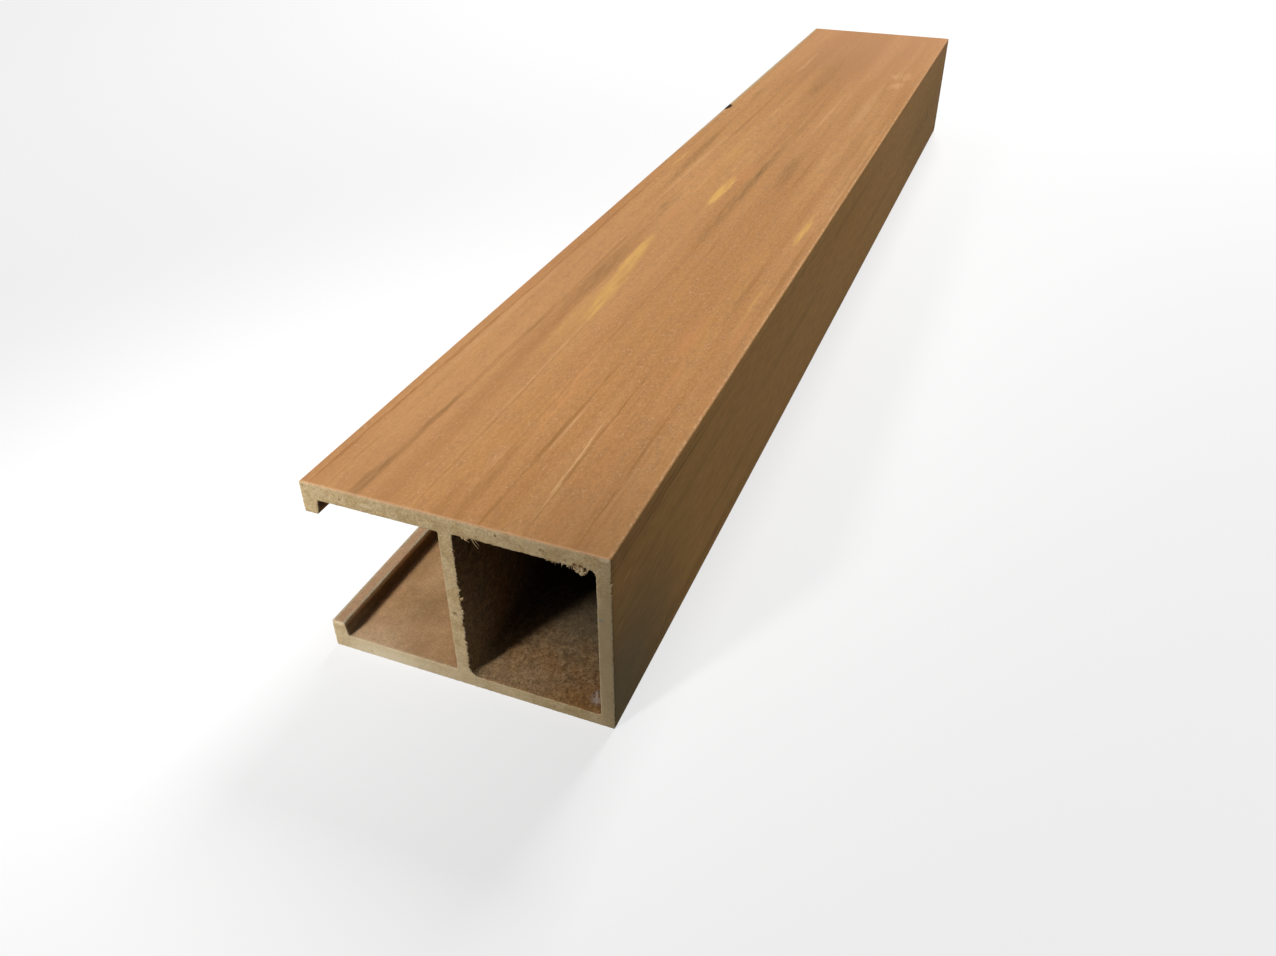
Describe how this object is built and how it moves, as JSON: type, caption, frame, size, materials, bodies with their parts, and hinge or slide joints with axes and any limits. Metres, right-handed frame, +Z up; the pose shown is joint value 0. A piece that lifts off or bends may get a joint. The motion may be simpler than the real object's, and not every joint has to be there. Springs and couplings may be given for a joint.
{
  "type": "composite ceiling slat",
  "caption": "Short length of hollow wood-plastic ceiling slat: a closed box chamber behind the visible face and an open channel with snap lips at the back.",
  "frame": {"origin": "on the floor below the middle of the slat, which lies on its wide side", "axes": "+Y along the slat's length, +X towards the closed visible face, +Z up through the section's height"},
  "size_m": [0.075, 0.48, 0.05],
  "materials": {
    "wood_plastic_composite": "matte"
  },
  "bodies": {
    "root": {"ceiling_slat": "wood_plastic_composite"}
  },
  "joints": []
}
